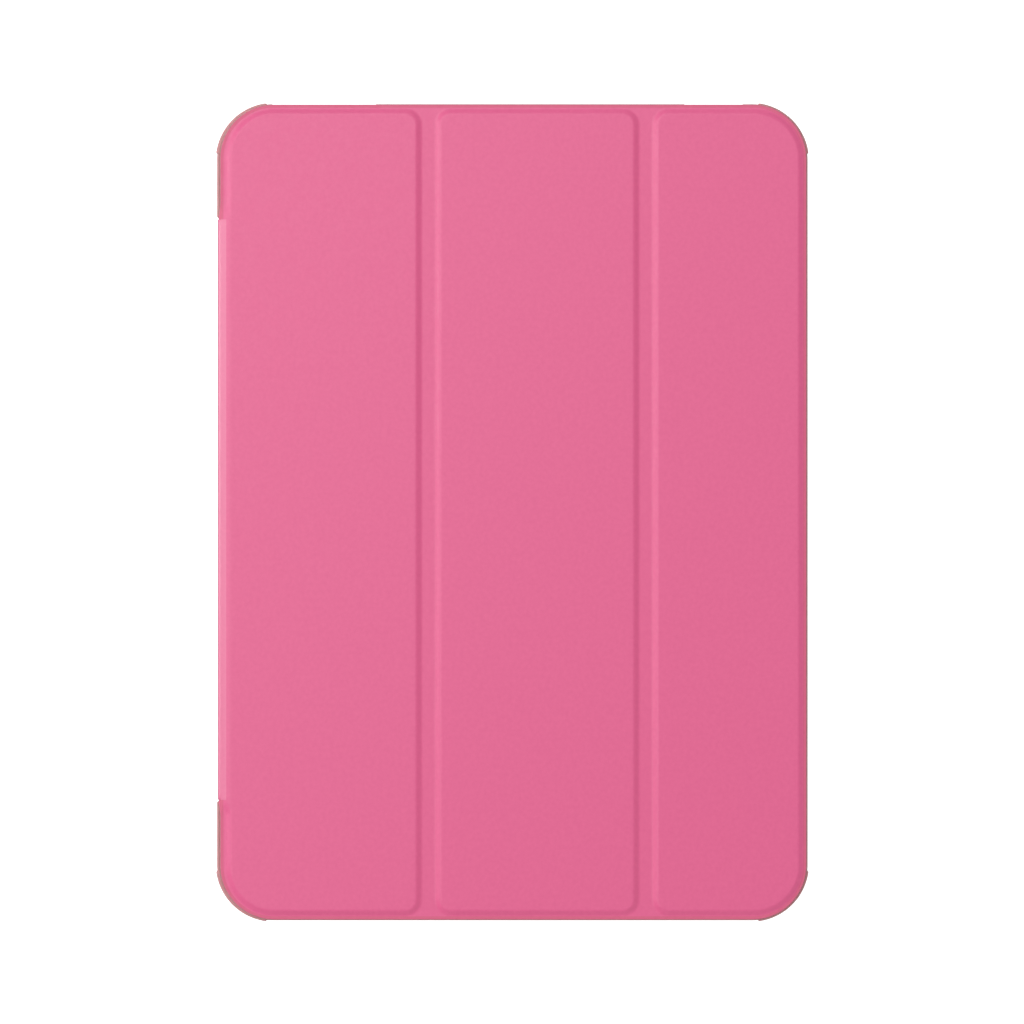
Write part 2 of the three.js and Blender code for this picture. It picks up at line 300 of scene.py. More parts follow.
def full_height_ring(layer, x):
    low = COVER_LOW + layer["inset"]
    high = COVER_HIGH - layer["inset"]
    bottom = layer["top"] - layer["thickness"]
    middle = np.linspace(COVER_LOW + ROWS[-1] + 2, COVER_HIGH - ROWS[-1] - 2, 24)
    rows = [COVER_LOW + d for d in ROWS] + list(middle) + [COVER_HIGH - d for d in reversed(ROWS)]
    over = rounded_steps(layer["round_high"])
    under = rounded_steps(layer["round_low"])
    ring = [(x, low + d, layer["top"] - drop) for d, drop in over]
    ring += [(x, y, layer_top(layer, x, y)) for y in rows]
    ring += [(x, high - d, layer["top"] - drop) for d, drop in reversed(over)]
    ring += [(x, high - d, bottom + drop) for d, drop in under]
    ring += [(x, y, layer_top(layer, x, y) - layer["thickness"]) for y in reversed(rows)]
    ring += [(x, low + d, bottom + drop) for d, drop in reversed(under)]
    return ring


def is_cut_edge(normal, centre):
    return abs(normal.z) < 0.88 and outline_distance(centre.x, centre.y) < CUT_EDGE_WIDTH


def full_height_part(name, layer, materials, lines):
    points = []
    for x in lines:
        points += full_height_ring(layer, x)
    faces = loft_faces(len(lines), len(points) // len(lines))
    return make_piece(name, points, faces, materials, is_cut_edge)


# ---- Ends of the cover: a band swept round the corners, and a flat middle ----


def band_chain(layer, rim):
    """The band's section: along its underside to the cut edge, round that, and back along its top."""
    inset = layer["inset"]
    bottom = layer["top"] - layer["thickness"]
    chain = [(d, band_top(layer, d, rim) - layer["thickness"]) for d in reversed(BAND_ROWS)]
    chain += [(inset + d, bottom + drop) for d, drop in reversed(rounded_steps(layer["round_low"]))]
    chain += [(inset + d, layer["top"] - drop) for d, drop in rounded_steps(layer["round_high"])]
    chain += [(d, band_top(layer, d, rim)) for d in BAND_ROWS]
    return chain


def corner_stations(side, end, from_x, to_y):
    """Places along the cover's outline, from a short edge, round a corner, to a long edge."""
    edge_x = COVER_RIGHT if side > 0 else COVER_LEFT
    edge_y = COVER_HIGH if end > 0 else COVER_LOW
    centre = (edge_x - side * COVER_RADIUS, edge_y - end * COVER_RADIUS)
    stations = [((x, edge_y), (0, -end)) for x in np.linspace(from_x, centre[0], 4)[:-1]]
    for i in range(29):
        angle = 0.5 * math.pi * i / 28
        out = (side * math.sin(angle), end * math.cos(angle))
        place = (centre[0] + COVER_RADIUS * out[0], centre[1] + COVER_RADIUS * out[1])
        stations.append((place, (-out[0], -out[1])))
    stations += [((edge_x, y), (-side, 0)) for y in np.linspace(centre[1], to_y, 6)[1:]]
    return stations


def band_points(stations, layer, side_rim):
    """The band's points. Its rim changes smoothly from the short edges' width to the long edge's."""
    points = []
    for (x, y), (inward_x, inward_y) in stations:
        rim = RIM_AT_ENDS + (side_rim - RIM_AT_ENDS) * inward_x**2
        points += [(x + d * inward_x, y + d * inward_y, z) for d, z in band_chain(layer, rim)]
    return points


def band_faces(count, size, first=0):
    faces = []
    for station in range(count - 1):
        for i in range(size - 1):
            a = first + station * size + i
            faces.append((a, a + 1, a + 1 + size, a + size))
    return faces


def right_end_part(name, layer, materials):
    middle_y = 0.5 * (COVER_LOW + COVER_HIGH)
    stations = corner_stations(1, 1, PANEL_3_SPLIT, middle_y)
    stations += list(reversed(corner_stations(1, -1, PANEL_3_SPLIT, middle_y)))[1:]
    points = band_points(stations, layer, RIM_RIGHT)
    count = len(stations)
    size = len(points) // count
    faces = band_faces(count, size)
    faces.append(tuple(i * size for i in range(count)))
    faces.append(tuple(i * size + size - 1 for i in range(count)))
    start = list(range(size))
    finish = list(range((count - 1) * size, count * size))
    faces.append(tuple(start + list(reversed(finish))))
    return make_piece(name, points, faces, materials, is_cut_edge)


def left_end_part(name, layer, materials):
    """The first panel's stiff part: a band round each left corner, and the flat middle between them."""
    upper = corner_stations(-1, 1, PANEL_1_SPLIT, SPINE_HIGH + CORNER_RUN)
    lower = list(reversed(corner_stations(-1, -1, PANEL_1_SPLIT, SPINE_LOW - CORNER_RUN)))
    points = band_points(upper + lower, layer, RIM_LEFT)
    count = len(upper) + len(lower)
    size = len(points) // count
    second = len(upper) * size
    faces = band_faces(len(upper), size) + band_faces(len(lower), size, second)
    faces.append(tuple(i * size for i in range(count)))
    faces.append(tuple(i * size + size - 1 for i in range(count)))
    last_upper = list(range(second - size, second))
    first_lower = list(range(second, second + size))
    faces.append(tuple(last_upper))
    faces.append(tuple(first_lower))
    faces.append((last_upper[0], last_upper[-1], first_lower[-1], first_lower[0]))
    start = list(range(size))
    finish = list(range((count - 1) * size, count * size))
    faces.append(tuple(start + list(reversed(finish))))
    return make_piece(name, points, faces, materials, is_cut_edge)


# ---- Spine, bends and the strip beside the spine, lofted along Y ----


def on_bend(radius, degrees):
    """A point on the front bend, at a radius and an angle."""
    angle = math.radians(degrees)
    return (BEND_CENTRE[0] + radius * math.cos(angle), BEND_CENTRE[1] + radius * math.sin(angle))


def shoulder_top(x):
    """Height of the skin from the front bend's end to the first panel's top."""
    start_x, start_z = on_bend(BEND_RADIUS, BEND_LAST_ANGLE)
    t = min(max((x - start_x) / (SHOULDER_END - start_x), 0.0), 1.0)
    return start_z + (COVER_TOP - start_z) * (2 * t - t * t)


def shoulder_chain(layer):
    """The band's section where it meets the spine: as many points, on the front bend's shape."""
    if layer is LINER:
        return [(COVER_LEFT + d, z) for d, z in band_chain(LINER, RIM_LEFT)]
    chain = []
    for d in reversed(BAND_ROWS):
        chain.append((COVER_LEFT + d, shoulder_top(COVER_LEFT + d) - SKIN_THICKNESS))
    chain += [on_bend(BEND_RADIUS - SKIN_THICKNESS, degrees) for degrees in (128, 131, 133, 135)]
    chain += [on_bend(BEND_RADIUS, degrees) for degrees in (138, 131, 124, 117)]
    chain += [(COVER_LEFT + d, shoulder_top(COVER_LEFT + d)) for d in BAND_ROWS]
    return chain


def transition_part(name, layer, materials, end):
    """A short piece from the spine's end to the first panel's corner, where the free edge flares."""
    start_chain = shoulder_chain(layer)
    end_chain = [(COVER_LEFT + d, z) for d, z in band_chain(layer, RIM_LEFT)]
    from_y = SPINE_HIGH if end > 0 else SPINE_LOW
    points = []
    count = 21
    for i in range(count):
        share = i / (count - 1)
        weight = ease(share)
        y = from_y + end * CORNER_RUN * share
        for (xa, za), (xb, zb) in zip(start_chain, end_chain):
            points.append((xa + (xb - xa) * weight, y, za + (zb - za) * weight))
    faces = loft_faces(count, len(start_chain))
    return make_piece(name, points, faces, materials, is_free_left_edge)


def is_free_left_edge(normal, centre):
    return normal.x < -0.75


def strip_part(name, layer, materials):
    """The cover beside the spine, from the front fold to the first panel's flat middle."""
    lines = [FOLD_START] + [COVER_LEFT + d for d in BAND_ROWS]
    top = shoulder_top if layer is SKIN else (lambda x: LINER["top"])
    points = []
    stations = np.linspace(SPINE_LOW, SPINE_HIGH, 25)
    for y in stations:
        points += [(x, y, top(x)) for x in lines]
        points += [(x, y, top(x) - layer["thickness"]) for x in reversed(lines)]
    faces = loft_faces(len(stations), 2 * len(lines))
    return make_piece(name, points, faces, materials)


def end_stations():
    """Places along the spine, with close ones at its two ends for the rounded cut edge."""
    from_end = [0.0, 0.06, SPINE_END_ROUND]
    return [
        *(SPINE_LOW + d for d in from_end),
        *np.linspace(SPINE_LOW + 1.5, SPINE_HIGH - 1.5, 30),
        *(SPINE_HIGH - d for d in reversed(from_end)),
    ]


def edge_shrink(y):
    """How much of its thickness a cut edge loses near the spine's two ends."""
    from_end = min(y - SPINE_LOW, SPINE_HIGH - y)
    if from_end >= SPINE_END_ROUND:
        return 0.0
    return 0.14 * (1 - math.sqrt(1 - (1 - from_end / SPINE_END_ROUND) ** 2))


def lofted_sheet(name, outer, inner, materials, stations, edge_rule):
    """A sheet between an outer and an inner line of points in X-Z, run along Y with rounded cut ends."""
    points = []
    for y in stations:
        shrink = edge_shrink(y)
        for (xa, za), (xb, zb) in zip(outer, inner):
            length = math.hypot(xb - xa, zb - za)
            points.append((xa + (xb - xa) * shrink / length, y, za + (zb - za) * shrink / length))
        for (xa, za), (xb, zb) in zip(reversed(outer), reversed(inner)):
            length = math.hypot(xb - xa, zb - za)
            points.append((xb + (xa - xb) * shrink / length, y, zb + (za - zb) * shrink / length))
    faces = loft_faces(len(stations), 2 * len(outer))
    return make_piece(name, points, faces, materials, edge_rule)


def is_spine_end(normal, centre):
    return abs(normal.y) > 0.6


def front_bend_lines():
    outer = [(SPINE_LEFT, z) for z in (SPINE_MIDDLE, 6.5, 7.8, 8.8, 9.2)]
    inner = [(SPINE_LEFT + SPINE_THICKNESS, z) for _, z in outer]
    for i in range(11):
        degrees = 180 - (180 - BEND_LAST_ANGLE) * i / 10
        thickness = SPINE_THICKNESS + (SKIN_THICKNESS - SPINE_THICKNESS) * ease(i / 10)
        outer.append(on_bend(BEND_RADIUS, degrees))
        inner.append(on_bend(BEND_RADIUS - thickness, degrees))
    outer.append((FOLD_START, shoulder_top(FOLD_START)))
    inner.append((FOLD_START, shoulder_top(FOLD_START) - SKIN_THICKNESS))
    return outer, inner


def back_bend_lines():
    """The tab, the back bend and the lower half of the spine."""
    radius = BACK_BEND_RADIUS
    centre = (SPINE_LEFT + radius, radius)
    tab_lines = [TAB_RIGHT, TAB_RIGHT - 0.05, TAB_RIGHT - 0.15]
    tab_lines += list(np.linspace(TAB_RIGHT - 1.0, centre[0] + 1.2, 10))
    tab_lines += [centre[0] + 0.8, centre[0] + 0.4]
    thickness = SPINE_THICKNESS
    outer = []
    inner = []
    for i, x in enumerate(tab_lines):
        shrink = (0.13, 0.06, 0.02)[i] if i < 3 else 0.0
        outer.append((x, shrink))
        inner.append((x, thickness - shrink))
    for i in range(11):
        angle = math.radians(270 - 9 * i)
        outer.append((centre[0] + radius * math.cos(angle), centre[1] + radius * math.sin(angle)))
        depth = radius - thickness
        inner.append((centre[0] + depth * math.cos(angle), centre[1] + depth * math.sin(angle)))
    for z in (1.4, 2.0, 3.0, 4.2, SPINE_MIDDLE):
        outer.append((SPINE_LEFT, z))
        inner.append((SPINE_LEFT + thickness, z))
    return outer, inner


def spine_lining_lines():
    left = SPINE_LINING[0][0]
    right = SPINE_LINING[1][0]
    low = SPINE_LINING[0][2]
    inner_start = 9.05
    outer = [(left, z) for z in (low, 3.0, 5.0, 7.0, 8.6, 9.2)]
    inner = [(right, z) for z in (low, 3.0, 5.0, 7.0, 8.6, inner_start)]
    turn_x = FOLD_START
    outer_turn_z = 9.43
    outer_rise = LINER["top"] - outer_turn_z
    inner_rise = LINER["top"] - LINER["thickness"] - inner_start
    for i in range(1, 9):
        angle = math.radians(180 - 90 * i / 8)
        outer_x = turn_x + (turn_x - left) * math.cos(angle)
        inner_x = turn_x + (turn_x - right) * math.cos(angle)
        outer.append((outer_x, outer_turn_z + outer_rise * math.sin(angle)))
        inner.append((inner_x, inner_start + inner_rise * math.sin(angle)))
    return outer, inner


# ---- Frame and back plate ----


def frame_stations():
    """Places round the frame: outer outline, inner outline, direction out, and how much bumper there is."""
    stations = []
    corners = [(1, 1, 0), (-1, 1, 90), (-1, -1, 180), (1, -1, 270)]
    for side_x, side_y, first in corners:
        outer_x = side_x * (FRAME_HALF[0] - FRAME_RADIUS)
        outer_y = side_y * (FRAME_HALF[1] - FRAME_RADIUS)
        inner_x = side_x * (CAVITY_HALF[0] - CAVITY_RADIUS)
        inner_y = side_y * (CAVITY_HALF[1] - CAVITY_RADIUS)
        end_angles = [0, 2.5, *np.linspace(RAMP_START, RAMP_END, 5)]
        angles = [*end_angles, *np.linspace(10, 80, 29), *(90 - a for a in reversed(end_angles))]
        for degrees in angles:
            angle = math.radians(first + degrees)
            out = (math.cos(angle), math.sin(angle))
            from_end = min(degrees, 90 - degrees)
            ramp = ease((from_end - RAMP_START) / (RAMP_END - RAMP_START))
            from_middle = abs(degrees / 45 - 1)
            proud = BUMPER_PROUD + (BUMPER_PROUD_AT_ENDS - BUMPER_PROUD) * from_middle**2
            outer = (outer_x + FRAME_RADIUS * out[0], outer_y + FRAME_RADIUS * out[1])
            inner = (inner_x + CAVITY_RADIUS * out[0], inner_y + CAVITY_RADIUS * out[1])
            stations.append((outer, inner, out, ramp, proud))
    return stations


def turned(radius, degrees):
    """A radius turned up from level by an angle: how far along it reaches, and how far up."""
    angle = math.radians(degrees)
    return radius * math.cos(angle), radius * math.sin(angle)


def frame_section(ramp, proud):
    """The frame's section at one place: which outline, how far out from it, and the height."""
    top = WALL_TOP + (LIP_TOP - WALL_TOP) * ramp
    out = proud * ramp
    section = [("outer", -LEDGE, 0.0), ("outer", -1.5, 0.0)]
    for degrees in (18, 36, 54, 72, 90):
        along, up = turned(BASE_ROUND, degrees)
        section.append(("outer", out - BASE_ROUND + up, BASE_ROUND - along))
    section.append(("outer", out, WALL_MIDDLE))
    for degrees in (0, 22.5, 45, 67.5, 90):
        along, up = turned(OUTER_TOP_ROUND, degrees)
        section.append(("outer", out - OUTER_TOP_ROUND + along, top - OUTER_TOP_ROUND + up))
    for degrees in (0, 30, 60, 90):
        along, up = turned(INNER_TOP_ROUND, degrees)
        section.append(("inner", INNER_TOP_ROUND - up, top - INNER_TOP_ROUND + along))
    section.append(("inner", 0.0, WALL_MIDDLE))
    for degrees in (0, 22.5, 45, 67.5, 90):
        along, up = turned(FLOOR_ROUND, degrees)
        section.append(("inner", -FLOOR_ROUND + along, PLATE_TOP + FLOOR_ROUND - up))
    section.append(("outer", -LEDGE, PLATE_TOP))
    return section


def prism(name, outline, bottom, top, axis="z"):
    """A cutting tool: an outline pulled straight between two levels along Z or Y."""
    def place(a, b, level):
        return (a, b, level) if axis == "z" else (a, level, b)

    points = [place(a, b, bottom) for a, b in outline] + [place(a, b, top) for a, b in outline]
    count = len(outline)
    faces = [tuple(range(count)), tuple(range(count, 2 * count))]
    faces += [(i, (i + 1) % count, count + (i + 1) % count, count + i) for i in range(count)]
    return make_piece(name, points, faces, [])


def rounded_outline(left, right, low, high, radius, steps=8):
    points = []
    for corner, (x, y) in enumerate([(left, low), (right, low), (right, high), (left, high)]):
        centre_x = x + (radius if x == left else -radius)
        centre_y = y + (radius if y == low else -radius)
        for i in range(steps + 1):
            angle = math.radians(180 + 90 * corner + 90 * i / steps)
            points.append((centre_x + radius * math.cos(angle), centre_y + radius * math.sin(angle)))
    return points


def carve(piece, tools):
    """Cuts the tools out of the piece, and takes the tools away again."""
    for tool in tools:
        cut = piece.modifiers.new("cut", "BOOLEAN")
        cut.operation = "DIFFERENCE"
        cut.solver = "EXACT"
        cut.object = tool
    depsgraph = bpy.context.evaluated_depsgraph_get()
    carved = bpy.data.meshes.new_from_object(piece.evaluated_get(depsgraph))
    piece.modifiers.clear()
    piece.data = carved
    for tool in tools:
        bpy.data.objects.remove(tool, do_unlink=True)
    carved.shade_smooth()
    carved.set_sharp_from_angle(angle=math.radians(SHARP_ANGLE))


def tab_recess(outside):
    """The tool for the tab's recess in the underside, from outside the case to past the tab's free edge."""
    low = SPINE_LOW - TAB_PLAY
    high = SPINE_HIGH + TAB_PLAY
    outline = rounded_outline(outside, TAB_RIGHT + TAB_PLAY, low, high, 3.0)
    return prism("tool_tab", outline, -1, TAB_RECESS)


def bottom_opening(name, centre, size, radius):
    """The tool for an opening with round corners through the bottom wall."""
    half = size[0] / 2
    low = OPENING_HEIGHT - size[1] / 2
    outline = rounded_outline(centre - half, centre + half, low, low + size[1], radius)
    return prism(name, outline, -128, -123.85, "y")


def make_frame(materials):
    stations = frame_stations()
    points = []
    for outer, inner, out, ramp, proud in stations:
        for which, offset, z in frame_section(ramp, proud):
            base = outer if which == "outer" else inner
            points.append((base[0] + offset * out[0], base[1] + offset * out[1], z))
    size = len(points) // len(stations)
    count = len(stations)
    faces = []
    for station in range(count):
        for i in range(size):
            a = station * size
            b = ((station + 1) % count) * size
            j = (i + 1) % size
            faces.append((a + i, a + j, b + j, b + i))
    piece = make_piece("soft_frame", points, faces, materials)

    # The spine's opening, with sloping ends, and the recess for the tab.
    low = SPINE_LOW - TAB_PLAY
    high = SPINE_HIGH + TAB_PLAY
    outside = -FRAME_HALF[0] - 2
    lower_end = [(outside, low - 1.7), (-90.95, low - 0.55), (-90.2, low), (-89.65, low)]
    upper_end = [(x, high + low - y) for x, y in reversed(lower_end)]
    tools = [prism("tool_spine", lower_end + upper_end, -1, 12), tab_recess(outside)]
    tools.append(bottom_opening("tool_port", 0, PORT, 2.4))
    for centre in SPEAKER_CENTRES:
        tools.append(bottom_opening(f"tool_speaker_{centre}", centre, SPEAKER, 1.45))
    for centre, width in BUTTON_NOTCHES:
        half = width / 2
        notch = rounded_outline(centre - half, centre + half, OPENING_HEIGHT - NOTCH_DEPTH, 14, 1.2)
        tools.append(prism(f"tool_notch_{centre}", notch, 123.85, 128, "y"))
    carve(piece, tools)
    return piece


def make_plate(materials):
    left, low = BACK[0][0], BACK[0][1]
    right, high = BACK[1][0], BACK[1][1]
    radius = FRAME_RADIUS - LEDGE - 0.05
    piece = prism("frosted_plate", rounded_outline(left, right, low, high, radius, 16), 0, PLATE_TOP)
    for material in materials:
        piece.data.materials.append(material)
    camera_hole = rounded_outline(*CAMERA_OPENING, CAMERA_OPENING_RADIUS, 12)
    carve(piece, [prism("tool_camera", camera_hole, -1, 4), tab_recess(left - 3)])
    bevel = piece.modifiers.new("soft_edges", "BEVEL")
    bevel.width = 0.25 * MM
    bevel.segments = 3
    bevel.limit_method = "ANGLE"
    bevel.angle_limit = math.radians(50)
    return piece


# ---- Materials ----


def start_material(name):
    material = bpy.data.materials.new(name)
    material.use_nodes = True
    nodes = material.node_tree.nodes
    return material, nodes, material.node_tree.links, nodes["Principled BSDF"]


def texture(nodes, links, kind, scale, **settings):
    """A noise or Voronoi texture in object space; the scale is in patterns per metre."""
    place = nodes.new("ShaderNodeTexCoord")
    node = nodes.new(f"ShaderNodeTex{kind}")
    node.inputs["Scale"].default_value = scale
    for key, value in settings.items():
        node.inputs[key].default_value = value
    links.new(place.outputs["Object"], node.inputs["Vector"])
    return node


def bumped(nodes, links, height, distance, strength=1.0, under=None):
    bump = nodes.new("ShaderNodeBump")
    bump.inputs["Distance"].default_value = distance * MM
    bump.inputs["Strength"].default_value = strength
    links.new(height, bump.inputs["Height"])
    if under:
        links.new(under.outputs["Normal"], bump.inputs["Normal"])
    return bump


def shaded(nodes, links, value, low, high, from_low=0.3, from_high=0.7):
    """A colour ramp between two linear colours."""
    ramp = nodes.new("ShaderNodeValToRGB")
    ramp.color_ramp.elements[0].position = from_low
    ramp.color_ramp.elements[0].color = (*low, 1)
    ramp.color_ramp.elements[1].position = from_high
    ramp.color_ramp.elements[1].color = (*high, 1)
    links.new(value, ramp.inputs["Fac"])
    return ramp


def ranged(nodes, links, value, low, high):
    node = nodes.new("ShaderNodeMapRange")
    node.inputs["From Min"].default_value = 0.3
    node.inputs["From Max"].default_value = 0.7
    node.inputs["To Min"].default_value = low
    node.inputs["To Max"].default_value = high
    links.new(value, node.inputs["Value"])
    return node


def leather_material(name, low, high, rough, grain):
    """Fine-grained synthetic leather: small pebbles, a faint mottle and a soft gloss."""
    material, nodes, links, shader = start_material(name)
    mottle = texture(nodes, links, "Noise", 800, Detail=3.0, Roughness=0.6)
    colour = shaded(nodes, links, mottle.outputs["Fac"], low, high)
    links.new(colour.outputs["Color"], shader.inputs["Base Color"])
    sheen_spots = texture(nodes, links, "Noise", 420, Detail=3.0)
    rough_range = ranged(nodes, links, sheen_spots.outputs["Fac"], rough - 0.05, rough + 0.05)
    links.new(rough_range.outputs["Result"], shader.inputs["Roughness"])
    pebbles = texture(nodes, links, "Voronoi", 1500, Randomness=0.9)
    pebbles.feature = "SMOOTH_F1"
    fine = texture(nodes, links, "Noise", 3400, Detail=2.0)
    first = bumped(nodes, links, pebbles.outputs["Distance"], grain)
    second = bumped(nodes, links, fine.outputs["Fac"], grain * 0.5, 1.0, first)
    links.new(second.outputs["Normal"], shader.inputs["Normal"])
    shader.inputs["Specular IOR Level"].default_value = 0.7
    shader.inputs["Sheen Weight"].default_value = 0.16
    shader.inputs["Sheen Roughness"].default_value = 0.35
    return material


def microfibre_material(name):
    """Brushed microfibre: short fibres, soft patches where the nap lies another way, and sheen."""
    material, nodes, links, shader = start_material(name)
    patches = texture(nodes, links, "Noise", 90, Detail=6.0, Roughness=0.7)
    colour = shaded(nodes, links, patches.outputs["Fac"], (0.53, 0.20, 0.285), (0.58, 0.235, 0.325))
    links.new(colour.outputs["Color"], shader.inputs["Base Color"])
    fibres = texture(nodes, links, "Noise", 2600, Detail=3.0, Distortion=1.4)
    nap = bumped(nodes, links, patches.outputs["Fac"], 0.05)
    bump = bumped(nodes, links, fibres.outputs["Fac"], 0.06, 1.0, nap)
    links.new(bump.outputs["Normal"], shader.inputs["Normal"])
    shader.inputs["Roughness"].default_value = 0.95
    shader.inputs["Specular IOR Level"].default_value = 0.2
    shader.inputs["Sheen Weight"].default_value = 0.5
    shader.inputs["Sheen Roughness"].default_value = 0.4
    shader.inputs["Sheen Tint"].default_value = (1.0, 0.8, 0.86, 1)
    return material


def plastic_material(name, low, high, rough, through, scatter):
    """Soft moulded plastic that lets some light through, with a satin surface."""
    material, nodes, links, shader = start_material(name)
    cloud = texture(nodes, links, "Noise", 400, Detail=4.0)
    colour = shaded(nodes, links, cloud.outputs["Fac"], low, high)
    links.new(colour.outputs["Color"], shader.inputs["Base Color"])
    satin = texture(nodes, links, "Noise", 2200, Detail=2.0)
    rough_range = ranged(nodes, links, satin.outputs["Fac"], rough - 0.04, rough + 0.04)
    links.new(rough_range.outputs["Result"], shader.inputs["Roughness"])
    bump = bumped(nodes, links, satin.outputs["Fac"], 0.008)
    links.new(bump.outputs["Normal"], shader.inputs["Normal"])
    shader.inputs["Transmission Weight"].default_value = through
    shader.inputs["Subsurface Weight"].default_value = scatter
    shader.inputs["Subsurface Radius"].default_value = (1.0, 0.5, 0.45)
    shader.inputs["Subsurface Scale"].default_value = 1.5 * MM
    shader.inputs["IOR"].default_value = 1.48
    return material


def board_material(name):
    material, nodes, links, shader = start_material(name)
    pulp = texture(nodes, links, "Noise", 900, Detail=6.0, Distortion=2.0)
    colour = shaded(nodes, links, pulp.outputs["Fac"], (0.38, 0.36, 0.31), (0.52, 0.49, 0.43))
    links.new(colour.outputs["Color"], shader.inputs["Base Color"])
    bump = bumped(nodes, links, pulp.outputs["Fac"], 0.03)
    links.new(bump.outputs["Normal"], shader.inputs["Normal"])
    shader.inputs["Roughness"].default_value = 0.9
    return material


def nickel_material(name):
    material, nodes, links, shader = start_material(name)
    plating = texture(nodes, links, "Noise", 700, Detail=4.0)
    colour = shaded(nodes, links, plating.outputs["Fac"], (0.58, 0.57, 0.55), (0.68, 0.67, 0.65))
    links.new(colour.outputs["Color"], shader.inputs["Base Color"])
    rough_range = ranged(nodes, links, plating.outputs["Fac"], 0.24, 0.38)
    links.new(rough_range.outputs["Result"], shader.inputs["Roughness"])
    shader.inputs["Metallic"].default_value = 1.0
    return material


def adhesive_material(name):
    material, nodes, links, shader = start_material(name)
    gum = texture(nodes, links, "Noise", 500, Detail=5.0)
    colour = shaded(nodes, links, gum.outputs["Fac"], (0.62, 0.58, 0.48), (0.74, 0.70, 0.60))
    links.new(colour.outputs["Color"], shader.inputs["Base Color"])
    bump = bumped(nodes, links, gum.outputs["Fac"], 0.02)
    links.new(bump.outputs["Normal"], shader.inputs["Normal"])
    shader.inputs["Roughness"].default_value = 0.7
    return material


leather = leather_material("leather", (0.755, 0.100, 0.260), (0.785, 0.112, 0.276), 0.36, 0.010)
leather_bend = leather_material("leather_bend", (0.755, 0.100, 0.260), (0.785, 0.112, 0.276), 0.36, 0.006)

# Where the leather is stretched round the bend, it has more gloss.
bend_shader = leather_bend.node_tree.nodes["Principled BSDF"]
bend_shader.inputs["Specular IOR Level"].default_value = 1.0
bend_shader.inputs["Coat Weight"].default_value = 1.0
bend_shader.inputs["Coat Roughness"].default_value = 0.36

# The rim's leather is a darker copy of the leather: painted shade where the raised panels and the frame
# shade the rim.
leather_rim_painted_shade = leather_material("leather_rim_painted_shade", (0.675, 0.096, 0.206), (0.700, 0.106, 0.220), 0.5, 0.010)
leather_edge = leather_material("leather_edge", (0.58, 0.205, 0.255), (0.64, 0.235, 0.285), 0.5, 0.02)
microfibre = microfibre_material("microfibre")
soft_plastic = plastic_material("soft_plastic", (0.66, 0.31, 0.32), (0.70, 0.34, 0.35), 0.34, 0.15, 0.35)
frosted = plastic_material("frosted", (0.80, 0.62, 0.62), (0.86, 0.69, 0.68), 0.48, 0.55, 0.15)
board = board_material("board")
nickel = nickel_material("nickel")
adhesive = adhesive_material("adhesive")

CAD_MATERIALS = {
    "spine_stiffener": board,
    "panel_1_board": board,
    "panel_2_board": board,
    "panel_3_board": board,
    "keeper_plate": nickel,
    "edge_magnet_1": nickel,
    "edge_magnet_2": nickel,
    "edge_magnet_3": nickel,
    "edge_magnet_4": nickel,
    "wake_magnet": nickel,
    "hinge_tab_adhesive": adhesive,
}
for node_name, material in CAD_MATERIALS.items():
    for material_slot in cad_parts[node_name].material_slots:
        material_slot.link = "OBJECT"
        material_slot.material = material


# ---- The cover, layer by layer ----

skin_materials = [leather, leather_edge, leather_rim_painted_shade, leather_bend]
liner_materials = [microfibre]


def middle_of(groove):
    return 0.5 * (groove[0][0] + groove[1][0])


def fold_lines(groove, side):
    """Places along X from a groove's middle to beside it, close together where the cover bends."""
    step = side * GROOVE_REACH / GROOVE_LINES
    return [middle_of(groove) + step * i for i in range(GROOVE_LINES + 1)]


def point(x, y, z):
    return (x * MM, y * MM, z * MM)


def blend_at_groove(piece):
    """Bakes the piece's placement into its mesh."""
    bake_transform(piece)


# Which CAD bodies' sheets each part of a layer stands for.
REPLACED = {
    "left": ["panel_1"],
    "panel_1_right": ["panel_1", "groove_1"],
    "panel_2_left": ["groove_1", "panel_2"],
    "panel_2_right": ["panel_2", "groove_2"],
    "panel_3_left": ["groove_2", "panel_3"],
    "right": ["panel_3"],
}


def build_cover(layer, kind, materials):
    """One layer of the cover: its two end parts ride on the first and third panels, and the other parts
    stay fixed.
    """
    groove_1, groove_2 = GROOVES
    parts = {}

    parts["left"] = left_end_part(f"{kind}_panel_1_left", layer, materials)
    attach(parts["left"], "panel_1")

    parts["strip"] = strip_part(f"{kind}_strip", layer, materials)
    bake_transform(parts["strip"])
    for end, word in ((1, "upper"), (-1, "lower")):
        part = transition_part(f"{kind}_{word}_flare", layer, materials, end)
        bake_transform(part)
        parts[word] = part

    plan = [
        ("panel_1_right", groove_1, -1, [-36.0, -42.0, -50.0, PANEL_1_SPLIT], "panel_1", "groove_1"),
        ("panel_2_left", groove_1, 1, [-16.0, -8.0, PANEL_2_SPLIT], "groove_1", "panel_2"),
        ("panel_2_right", groove_2, -1, [30.0, 22.0, PANEL_2_SPLIT], "panel_2", "groove_2"),
        ("panel_3_left", groove_2, 1, [51.0, 58.0, PANEL_3_SPLIT], "groove_2", "panel_3"),
    ]
    for name, groove, side, more, before, after in plan:
        lines = sorted(fold_lines(groove, side) + more)
        part = full_height_part(f"{kind}_{name}", layer, materials, lines)
        blend_at_groove(part)
        parts[name] = part

    parts["right"] = right_end_part(f"{kind}_panel_3_right", layer, materials)
    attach(parts["right"], "panel_3")
    for name, bodies in REPLACED.items():
        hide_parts(*(f"{body}_{kind}" for body in bodies))


build_cover(SKIN, "skin", skin_materials)
build_cover(LINER, "lining", liner_materials)

bend_materials = [leather_bend, leather_edge]
bend_lines = front_bend_lines()
front_bend = lofted_sheet("skin_front_bend", *bend_lines, bend_materials, end_stations(), is_spine_end)
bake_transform(front_bend)
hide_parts("spine_skin", "front_fold_skin")


def is_tab_edge(normal, centre):
    return abs(normal.y) > 0.6 or normal.x > 0.7


